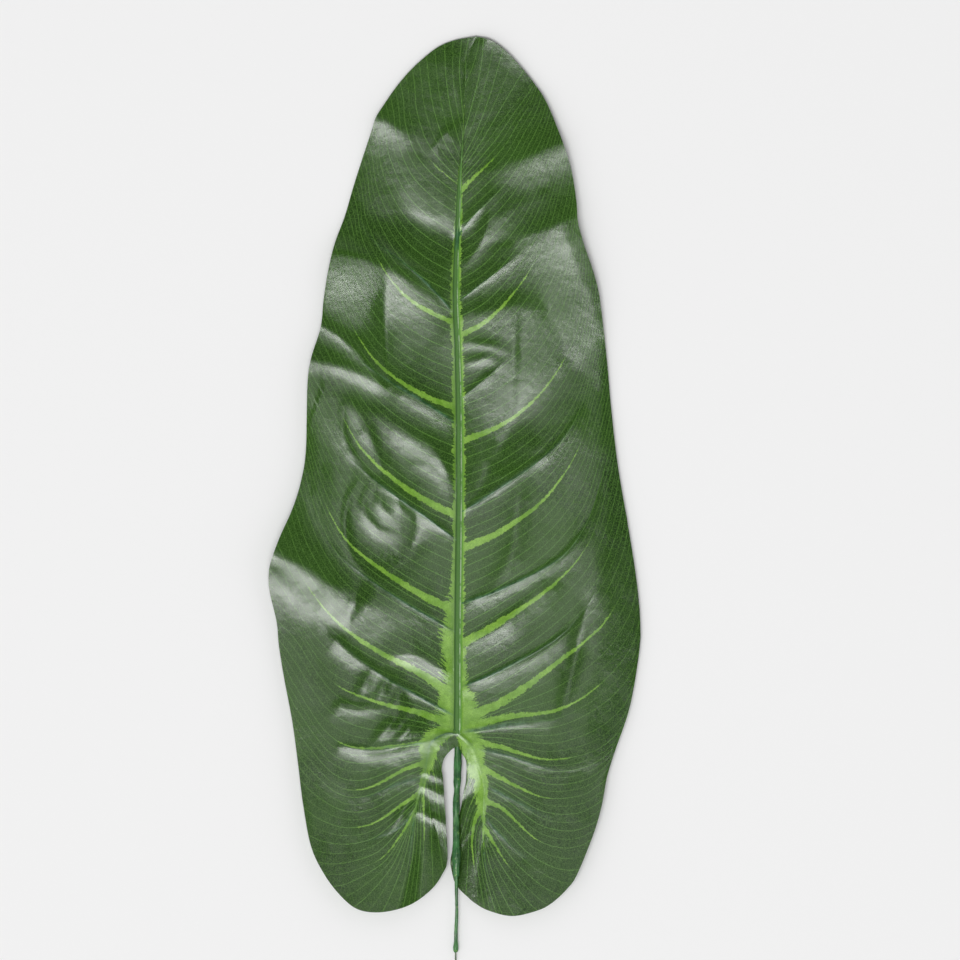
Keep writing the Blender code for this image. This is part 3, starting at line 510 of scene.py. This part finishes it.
def deselect():
    """Leave nothing selected."""
    bpy.ops.object.select_all(action='DESELECT')


def joined(pieces, name):
    """Join pieces into the first of them, name it and return it."""
    deselect()
    for piece in pieces:
        piece.select_set(True)
    bpy.context.view_layer.objects.active = pieces[0]
    bpy.ops.object.join()
    pieces[0].name = name
    return pieces[0]


def merge_doubles(gap):
    """Merge the active mesh's doubled points and turn its faces outwards."""
    bpy.ops.object.mode_set(mode='EDIT')
    bpy.ops.mesh.select_all(action='SELECT')
    bpy.ops.mesh.remove_doubles(threshold=gap)
    bpy.ops.mesh.normals_make_consistent(inside=False)
    bpy.ops.object.mode_set(mode='OBJECT')


halves = []
for half, print_half, bands, side in ((LEFT, PRINT_LEFT, BANDS_LEFT, -1.0), (RIGHT, PRINT_RIGHT, BANDS_RIGHT, 1.0)):
    grid = half_grid(half)
    rows, columns = grid.shape[:2]
    points = grid[:, :, :3].reshape(-1, 3)
    deselect()
    bpy.ops.mesh.primitive_grid_add(x_subdivisions=columns - 1, y_subdivisions=rows - 1, size=1)
    sheet = bpy.context.object
    points[:, 2] += relief(points[:, :2]) + CLOTH_ABOVE_FRAME
    sheet.data.vertices.foreach_set("co", ((points + np.array([*HUB_AT, 0])) * MM).ravel())
    field = print_field(print_half, points[:, :2], bands)
    marks = dict(zip(PRINT_VALUES, field.T), rib=grid[:, :, 3].ravel(), ridge=grid[:, :, 4].ravel(),
                 side=np.full(len(points), side), print_and_shade=doubled_print_and_shade(points[:, :2]))
    for title, values in marks.items():
        attribute = sheet.data.attributes.new(title, 'FLOAT', 'POINT')
        attribute.data.foreach_set("value", values.astype(np.float32))
    halves.append(sheet)
blade = joined(halves, "leaf_blade")
merge_doubles(0.00001)
if blade.data.polygons[0].normal.z < 0:
    blade.data.flip_normals()
cloth = blade.modifiers.new("cloth", 'SOLIDIFY')
cloth.thickness = CLOTH_THICKNESS * MM
cloth.offset = -1
bpy.ops.object.modifier_apply(modifier="cloth")
bpy.ops.object.shade_smooth_by_angle(angle=math.radians(50))
deselect()


# Leaf blade: its printed cloth
# Woven polyester printed in greens and pressed hot, so that the face has a soft plastic sheen. The lime
# veins have feathered edges, fine lime lines run beside them, and the weave shows as a faint grain.


def connect(tree, node, inputs):
    """Fill or link a node's inputs by name or number."""
    for name, value in inputs.items():
        if isinstance(value, bpy.types.NodeSocket):
            tree.links.new(value, node.inputs[name])
        else:
            node.inputs[name].default_value = value


def add_node(tree, kind, inputs=(), **settings):
    """Add a shader node, set its options, and fill or link its inputs."""
    node = tree.nodes.new(kind)
    for name, value in settings.items():
        setattr(node, name, value)
    connect(tree, node, dict(inputs))
    return node


def calculate(tree, operation, *values):
    """Add a math node and return its value."""
    return add_node(tree, "ShaderNodeMath", dict(enumerate(values)), operation=operation).outputs[0]


def product(tree, first, *others):
    """Return the product of values."""
    for other in others:
        first = calculate(tree, 'MULTIPLY', first, other)
    return first


def total(tree, first, *others):
    """Return the sum of values."""
    for other in others:
        first = calculate(tree, 'ADD', first, other)
    return first


def ramp(tree, value, low, high, to_low=0.0, to_high=1.0):
    """Map a value smoothly from one range to another and return it."""
    inputs = {"Value": value, "From Min": low, "From Max": high, "To Min": to_low, "To Max": to_high}
    return add_node(tree, "ShaderNodeMapRange", inputs, interpolation_type='SMOOTHSTEP').outputs[0]


def mixed(tree, share, first, second):
    """Mix two colours and return the result."""
    return add_node(tree, "ShaderNodeMix", {0: share, 6: first, 7: second}, data_type='RGBA').outputs[2]


def own_place(tree):
    """Return the place on the piece itself, in metres."""
    return add_node(tree, "ShaderNodeTexCoord").outputs["Object"]


def read(tree, name):
    """Return a point attribute of the piece."""
    return add_node(tree, "ShaderNodeAttribute", attribute_name=name).outputs["Fac"]


def speckle(tree, vector, scale, detail=2.0, roughness=0.5):
    """Return a noise value at a vector."""
    inputs = {"Vector": vector, "Scale": scale, "Detail": detail, "Roughness": roughness}
    return add_node(tree, "ShaderNodeTexNoise", inputs).outputs["Fac"]


def ruffle(tree, vector, scale, detail, roughness):
    """Return a noise value that wanders about zero."""
    return calculate(tree, 'SUBTRACT', speckle(tree, vector, scale, detail, roughness), 0.5)


def stretched(tree, vector, by):
    """Return a vector stretched along its three axes."""
    return add_node(tree, "ShaderNodeVectorMath", {0: vector, 1: by}, operation='MULTIPLY').outputs[0]


def off_nearest(tree, value, spacing):
    """Return the distance to the nearest of the lines that lie at whole numbers, spacing apart."""
    away = calculate(tree, 'SUBTRACT', value, calculate(tree, 'ROUND', value))
    return product(tree, calculate(tree, 'ABSOLUTE', away), spacing)


def bumped(tree, strength, distance, height, **under):
    """Return the normal of a surface with a small relief, on the normal under it if one is given."""
    inputs = {"Strength": strength, "Distance": distance, "Height": height, **under}
    return add_node(tree, "ShaderNodeBump", inputs).outputs[0]


def new_material(name, roughness):
    """Return a new material, its tree and its shader node."""
    material = bpy.data.materials.new(name)
    material.use_nodes = True
    shader = material.node_tree.nodes["Principled BSDF"]
    shader.inputs["Roughness"].default_value = roughness
    return material, material.node_tree, shader


def green(red, middle, blue):
    """Return a colour picked as it looks on a screen, 0 to 255, as the shader's linear values."""
    return (*[((value / 255 + 0.055) / 1.055) ** 2.4 for value in (red, middle, blue)], 1)


weave = bpy.data.node_groups.new("cloth_weave", "ShaderNodeTree")
weave.interface.new_socket("Vector", in_out='INPUT', socket_type='NodeSocketVector')
weave.interface.new_socket("Threads", in_out='INPUT', socket_type='NodeSocketFloat')
weave.interface.new_socket("Height", in_out='OUTPUT', socket_type='NodeSocketFloat')
entry = add_node(weave, "NodeGroupInput")
scaled = add_node(weave, "ShaderNodeVectorMath", {0: entry.outputs["Vector"], "Scale": entry.outputs["Threads"]},
                  operation='SCALE').outputs[0]
axes = add_node(weave, "ShaderNodeSeparateXYZ", {0: scaled})
warp = calculate(weave, 'SINE', product(weave, axes.outputs[0], 2 * math.pi))
weft = calculate(weave, 'SINE', product(weave, axes.outputs[1], 2 * math.pi))
height = total(weave, product(weave, warp, weft, 0.12), speckle(weave, scaled, 0.9, 3.0, 0.6))
add_node(weave, "NodeGroupOutput", {"Height": height})


def weave_height(tree, vector, threads):
    """Place the weave group in a material and return its height."""
    inputs = {"Vector": vector, "Threads": threads}
    return add_node(tree, "ShaderNodeGroup", inputs, node_tree=weave).outputs["Height"]


face, tree, shader = new_material("printed_cloth", 0.36)
place = own_place(tree)
vein, reach, spacing, lime, lines, gap, band = (read(tree, name) for name in PRINT_VALUES)
rib, ridge, side, print_and_shade = (read(tree, name) for name in ("rib", "ridge", "side", "print_and_shade"))

# The lime veins, frayed at their edges
flow = add_node(tree, "ShaderNodeCombineXYZ", {0: product(tree, reach, 0.16), 1: product(tree, lines, 1.5),
                                               2: product(tree, side, 31.0)}).outputs[0]
feather = ruffle(tree, flow, 1.6, 4.0, 0.7)
tooth = ruffle(tree, place, 420.0, 5.0, 0.85)
vein_edge = total(tree, lime, product(tree, feather, lime, 1.5), product(tree, tooth, 4.0))
inside_vein = calculate(tree, 'SUBTRACT', vein_edge, off_nearest(tree, vein, spacing))
vein_mask = product(tree, ramp(tree, inside_vein, -0.15, 0.2), ramp(tree, lime, 0.05, 0.25))

# The lime band along the midrib, which breaks up into shreds and lumps
shreds = ruffle(tree, stretched(tree, flow, (0.9, 2.6, 1.0)), 1.0, 3.0, 0.7)
lumps = ruffle(tree, place, 120.0, 2.0, 0.6)
band_edge = total(tree, band, product(tree, shreds, band, 2.0), product(tree, tooth, 4.5),
                  product(tree, lumps, band, 0.9))
inside_band = calculate(tree, 'SUBTRACT', band_edge, reach)
lime_mask = calculate(tree, 'MAXIMUM', vein_mask, ramp(tree, inside_band, -0.2, 0.25))

# The fine lines, every second one fainter
number = calculate(tree, 'ROUND', lines)
even = calculate(tree, 'ABSOLUTE', calculate(tree, 'SUBTRACT', calculate(tree, 'MODULO', number, 2.0), 1.0))
line_strength = product(tree, calculate(tree, 'MULTIPLY_ADD', even, 0.25, 0.5),
                        ramp(tree, reach, 15.0, 110.0, 1.0, 0.6))
broken = ramp(tree, speckle(tree, flow, 5.0, 3.0, 0.6), 0.36, 0.6, 0.2, 1.0)
line_mask = product(tree, ramp(tree, off_nearest(tree, lines, gap), 0.1, 0.45, 1.0, 0.0), line_strength, broken)

# The green ground with its doubled print and painted shade, the weave's grain and the lines, and the lime on it
grain = weave_height(tree, place, 1500.0)
ground = mixed(tree, ramp(tree, speckle(tree, place, 22.0, 3.0), 0.3, 0.7), green(26, 51, 9), green(38, 69, 15))
# Painted shade: the wide marks darken the right margin and the right lobe; the narrow ones are the doubled print.
ground = mixed(tree, product(tree, print_and_shade, 0.85), ground, green(14, 38, 12))
ground = mixed(tree, ramp(tree, grain, 0.4, 0.7), ground, green(72, 108, 46))
lined = mixed(tree, line_mask, ground, green(104, 152, 66))
patches = ramp(tree, speckle(tree, place, 90.0, 4.0, 0.7), 0.35, 0.65)
lime_shade = mixed(tree, patches, green(106, 152, 46), green(140, 184, 74))
# Painted shade: the lime band left of the midrib is darkened to olive, as on the ridge's shaded flank.
painted_shade_band = product(tree, ramp(tree, side, -1.0, 1.0, 0.7, 0.0), ramp(tree, reach, 2.0, 8.0, 1.0, 0.0))
lime_shade = mixed(tree, painted_shade_band, lime_shade, green(84, 122, 44))
lime_shade = mixed(tree, ramp(tree, grain, 0.36, 0.62, 0.55, 0.0), lime_shade, green(84, 126, 44))
coloured = mixed(tree, lime_mask, lined, lime_shade)

# The cloth over the ribs: rubbed over the side ribs. Over the midrib's ridge, painted shade on its left flank, and
# painted light with a painted highlight line on its right flank.
rubbed = ramp(tree, speckle(tree, place, 160.0, 4.0, 0.7), 0.4, 0.62)
rib_colour = mixed(tree, rubbed, green(34, 74, 40), green(84, 122, 92))
ribbed = mixed(tree, product(tree, rib, 0.85), coloured, rib_colour)
across = calculate(tree, 'DIVIDE', reach, calculate(tree, 'MAXIMUM', ridge, 0.3))
# Painted shade on the ridge's left flank and painted light on its right flank
painted_shade_flank = mixed(tree, ramp(tree, across, 0.35, 0.8), green(80, 124, 54), green(50, 88, 32))
painted_lit_flank = mixed(tree, ramp(tree, across, 0.1, 0.6), green(76, 120, 54), green(104, 160, 62))
# A painted highlight: a whitish line along the ridge's right flank, broken by noise
painted_highlight_line = product(tree, ramp(tree, across, 0.25, 0.4), ramp(tree, across, 0.5, 0.7, 1.0, 0.0),
                ramp(tree, speckle(tree, place, 110.0, 4.0, 0.7), 0.42, 0.58, 0.1, 0.9))
painted_lit_flank = mixed(tree, painted_highlight_line, painted_lit_flank, green(184, 206, 170))
midrib_painted_light = mixed(tree, ramp(tree, side, -0.2, 0.2), painted_shade_flank, painted_lit_flank)
midrib_painted_light = mixed(tree, ramp(tree, grain, 0.2, 0.8, 0.25, 0.0), midrib_painted_light, green(40, 76, 34))
midrib_painted_light_mask = product(tree, ramp(tree, across, 0.8, 1.1, 1.0, 0.0), ramp(tree, ridge, 0.05, 0.6))

crumple = bumped(tree, 0.3, 0.0015, speckle(tree, place, 50.0, 3.0, 0.55))
connect(tree, shader, {"Base Color": mixed(tree, midrib_painted_light_mask, ribbed, midrib_painted_light),
                       "Roughness": ramp(tree, speckle(tree, place, 60.0, 3.0), 0.3, 0.7, 0.165, 0.235),
                       "Normal": bumped(tree, 0.6, 0.00008, grain, Normal=crumple)})

back, tree, shader = new_material("cloth_back", 0.6)
place = own_place(tree)
faded = mixed(tree, ramp(tree, speckle(tree, place, 40.0, 4.0), 0.3, 0.7), green(84, 112, 74), green(102, 128, 90))
connect(tree, shader, {"Base Color": faded,
                       "Normal": bumped(tree, 0.4, 0.00015, weave_height(tree, place, 1300.0))})

blade.data.materials.clear()
for finish in (face, back):
    blade.data.materials.append(finish)
blade.data.polygons.foreach_set("material_index", [int(part.normal.z < -0.1) for part in blade.data.polygons])
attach(blade, "root")
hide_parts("blade")

# Rib frame
# One polyethylene moulding glued under the cloth: a midrib, two basal ribs and the side ribs, half-round
# below, with a socket at the hub for the stem. It is dark green and satin from the mould.
moulded, tree, shader = new_material("moulded_green", 0.38)
place = own_place(tree)
tone = mixed(tree, ramp(tree, speckle(tree, place, 150.0, 4.0), 0.3, 0.7), green(26, 72, 34), green(58, 116, 60))
flow_marks = speckle(tree, stretched(tree, place, (1.0, 0.12, 1.0)), 900.0, 3.0)
tone = mixed(tree, product(tree, ramp(tree, flow_marks, 0.5, 0.75), 0.5), tone, green(110, 160, 96))
flecks = ramp(tree, speckle(tree, place, 480.0, 3.0, 0.6), 0.6, 0.7)
tone = mixed(tree, product(tree, flecks, 0.7), tone, green(136, 170, 84))
connect(tree, shader, {"Base Color": tone, "Roughness": ramp(tree, flow_marks, 0.3, 0.7, 0.24, 0.38),
                       "Normal": bumped(tree, 0.4, 0.0003, speckle(tree, place, 600.0))})

GLUE = 0.25
MIDRIB_BAR_RADII = [(0, 0.9), (60, 1.0), (480, 2.7)]
BASAL_BAR_RADII = (1.9, 1.1)
SIDE_BAR_RADII = (1.1, 0.7)
STEM_LINE = [(0.1, 14, 2.9), (0.2, 0, 2.9), (0.1, -10, 3.1), (-0.5, -28, 4.2), (-1.1, -46, 5.1), (-1, -70, 5.6),
             (-1, -90, 5.5), (-0.7, -112, 4.4), (-1.3, -137, 2.3), (-1.2, -158, 1.1), (-1, -187, 0.7)]
SOCKET = [(10, 0.1), (10, 2.5), (9, 2.7), (-6, 2.5), (-12, 2.7), (-20, 2.55), (-25, 2.6), (-28, 2.35),
          (-29.5, 2.0), (-29.6, 1.85), (-8, 1.85), (-8, 0.1)]


def under_cloth(plan, heights, radii):
    """Return the centre line of a bar that lies against the underside of the cloth."""
    top = heights + relief(plan) + CLOTH_ABOVE_FRAME - CLOTH_THICKNESS - GLUE
    return np.column_stack([plan, np.maximum(top - radii, radii + 0.05)])


def linked(name, data):
    """Return a new object in the scene that holds the given data."""
    piece = bpy.data.objects.new(name, data)
    bpy.context.scene.collection.objects.link(piece)
    return piece


def select_alone(piece):
    """Select one piece and make it the active one."""
    deselect()
    piece.select_set(True)
    bpy.context.view_layer.objects.active = piece


def bar(centres, radii):
    """Lay a round bar along centre points, as a mesh with closed ends."""
    line = bpy.data.curves.new("bar", 'CURVE')
    line.dimensions = '3D'
    line.bevel_depth = 1.0
    line.bevel_resolution = 3
    line.use_fill_caps = True
    spline = line.splines.new('POLY')
    spline.points.add(len(centres) - 1)
    for point, (x, y, z), radius in zip(spline.points, centres, radii):
        point.co = ((x + HUB_AT[0]) * MM, (y + HUB_AT[1]) * MM, z * MM, 1)
        point.radius = radius * MM
    select_alone(linked("bar", line))
    bpy.ops.object.convert(target='MESH')
    return bpy.context.object


def turned(name, profile, lumps):
    """Spin a profile of (place along the stem, radius) pairs and bend the body along the stem's line."""
    outline = []
    for (start, radius), (stop, next_radius) in zip(profile, profile[1:] + profile[:1]):
        parts = max(1, round(abs(stop - start) / 1.5))
        outline += [(radius + (next_radius - radius) * k / parts, start + (stop - start) * k / parts, 0)
                    for k in range(parts)]
    shape = bpy.data.meshes.new(name)
    shape.from_pydata(outline, [(k, (k + 1) % len(outline)) for k in range(len(outline))], [])
    piece = linked(name, shape)
    select_alone(piece)
    bpy.ops.object.mode_set(mode='EDIT')
    bpy.ops.mesh.select_all(action='SELECT')
    bpy.ops.mesh.spin(steps=28, angle=2 * math.pi, center=(0, 0, 0), axis=(0, 1, 0))
    merge_doubles(0.001)
    stem = smooth_line(STEM_LINE)[::-1]
    for vertex in shape.vertices:
        x, y, z = vertex.co
        swell = 1 + lumps * (noise.noise(Vector((x * 0.35, y * 0.11, z * 0.35)))
                             + 0.7 * noise.noise(Vector((x * 0.7, y * 0.45, z * 0.7))))
        vertex.co = ((x * swell + np.interp(y, stem[:, 1], stem[:, 0]) + HUB_AT[0]) * MM, (y + HUB_AT[1]) * MM,
                     (z * swell + np.interp(y, stem[:, 1], stem[:, 2])) * MM)
    bpy.ops.object.shade_smooth_by_angle(angle=math.radians(40))
    deselect()
    return piece


bars = []
midrib_line = smooth_line(MIDRIB[2:])
midrib_roots = distances(smooth_line(MIDRIB))[-len(midrib_line):]
radii = listed(MIDRIB_BAR_RADII, midrib_roots)
bars.append(bar(under_cloth(midrib_line, listed(ROOT_HEIGHTS, midrib_roots), radii), radii))
for half, basal in ((LEFT, BASAL_LEFT), (RIGHT, BASAL_RIGHT)):
    line = smooth_line(basal)
    roots = half.hub + distances(line)
    radii = np.interp(roots, (roots[0], roots[-1]), BASAL_BAR_RADII)
    bars.append(bar(under_cloth(line, listed(ROOT_HEIGHTS, roots), radii), radii))
    for number, (edge, reach) in enumerate(half.values):
        if reach:
            fractions = np.linspace(0, reach, 22)
            plan = half.row(number, fractions)
            heights = base_height(half, number, fractions, distances(plan)[-1] / reach)[0]
            radii = np.interp(fractions, (0, reach), SIDE_BAR_RADII)
            bars.append(bar(under_cloth(plan, heights, radii), radii))
bars.append(turned("socket", SOCKET, lumps=0.08))
ribs = joined(bars, "rib_moulding")
bpy.ops.object.shade_smooth_by_angle(angle=math.radians(40))
ribs.data.materials.clear()
ribs.data.materials.append(moulded)
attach(ribs, "root")
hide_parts("rib_frame")
deselect()

# Stem sleeve and coat
# A polyethylene sleeve is pushed on the wire up to the hub's socket, with a swollen end where glue ran
# out. Below it the wire has a thin dipped coat that ends in a drop.
SLEEVE = [(-10, 1.5), (-27.3, 1.5), (-28.6, 1.9), (-32, 2.05), (-36, 2.3), (-44, 2.35), (-50, 2.15), (-58, 2.1),
          (-64, 2.25), (-68, 2.3), (-71, 2.7), (-75, 2.85), (-79, 2.75), (-83, 2.45), (-88.6, 2.2), (-89.5, 1.9),
          (-89.5, 1.55), (-66, 1.5), (-66, 0.9), (-10, 0.9)]
COAT = [(-67, 1.15), (-90, 1.35), (-94, 1.25), (-104, 1.0), (-112, 0.95), (-120, 1.15), (-128, 1.25), (-134, 1.3),
        (-136, 1.65), (-138, 1.85), (-140, 1.7), (-141.3, 1.1), (-141.5, 0.86), (-67, 0.86)]
sleeve = turned("sleeve", SLEEVE, lumps=0.13)
coat = turned("coat", COAT, lumps=0.16)
for piece, node in ((sleeve, "stem_sleeve"), (coat, "stem_coat")):
    piece.data.materials.append(moulded)
    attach(piece, "root")
    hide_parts(node)

# Core wire
# Drawn steel, greenish grey and dull, bare below the drop of the coat and cut off square.
drawn, tree, shader = new_material("drawn_wire", 0.45)
place = own_place(tree)
tone = mixed(tree, ramp(tree, speckle(tree, place, 300.0), 0.4, 0.6), green(92, 112, 88), green(134, 146, 124))
connect(tree, shader, {"Base Color": tone, "Metallic": 0.6,
                       "Roughness": ramp(tree, speckle(tree, place, 800.0), 0.3, 0.7, 0.35, 0.6)})
wire = bpy.data.objects["core_wire"]
for slot in wire.material_slots:
    slot.material = drawn

# Table, light and camera
# The leaf lies on a plain pale table under broad soft lights, and the camera looks straight down on it.
deselect()
bpy.ops.mesh.primitive_plane_add(size=6.0, location=(0, 0, 0))
table = bpy.context.object
table.name = "table"
pale, tree, shader = new_material("pale_table", 0.9)
connect(tree, shader, {"Base Color": (0.86, 0.86, 0.86, 1), "Specular IOR Level": 0.0})
table.data.materials.append(pale)
deselect()

PHOTO_SPAN = 0.6553          # width of the photograph's frame at the leaf
CAMERA_HEIGHT = 10.0
VIEW_CENTRE = (0.0175, 0.0324)
SENSOR = 36
eye = bpy.data.cameras.new("camera")
eye.sensor_width = SENSOR
eye.lens = SENSOR * CAMERA_HEIGHT / PHOTO_SPAN
camera = linked("camera", eye)
camera.location = (*VIEW_CENTRE, CAMERA_HEIGHT)
bpy.context.scene.camera = camera


# A long soft box hangs far off to the near side and gives the bright sheen, a dimmer wide one lies round it,
# and a small one hangs over the middle of the leaf. A broad sky light fills the rest.


def hang_box(name, size, energy, away, lean, centre):
    """Hang a rectangular soft box that looks at the leaf from a distance, leaning to the near side."""
    lamp = bpy.data.lights.new(name, 'AREA')
    lamp.shape = 'RECTANGLE'
    lamp.size, lamp.size_y = size
    lamp.energy = energy
    box = linked(name, lamp)
    lean = math.radians(lean)
    box.location = (centre[0], centre[1] - away * math.sin(lean), away * math.cos(lean))
    box.rotation_euler = (lean, 0, 0)


hang_box("soft_box", size=(12.0, 3.2), energy=1900, away=20.0, lean=15.4, centre=(-3.2, 0))
hang_box("wide_box", size=(15.0, 7.0), energy=450, away=20.0, lean=21.5, centre=(-3.2, 0))
hang_box("overhead_box", size=(0.22, 0.34), energy=0.7, away=1.5, lean=0, centre=(-0.03, 0.075))
sky_lamp = bpy.data.lights.new("broad_light", 'SUN')
sky_lamp.angle = math.radians(75)
sky_lamp.energy = 0.55
broad_light = linked("broad_light", sky_lamp)
broad_light.rotation_euler = (math.radians(42), 0, math.radians(-40))
broad_light.visible_glossy = False
world = bpy.data.worlds.new("studio")
world.use_nodes = True
tree = world.node_tree
upward = add_node(tree, "ShaderNodeTexCoord").outputs["Generated"]
height = add_node(tree, "ShaderNodeSeparateXYZ", {0: upward}).outputs[2]
sky = ramp(tree, height, 0.72, 0.9, 1.0, 0.12)
sky_colour = add_node(tree, "ShaderNodeCombineColor", {0: sky, 1: sky, 2: sky}).outputs[0]
connect(tree, tree.nodes["Background"], {"Color": sky_colour, "Strength": 0.5})
bpy.context.scene.world = world
bpy.context.scene.view_settings.view_transform = 'Standard'
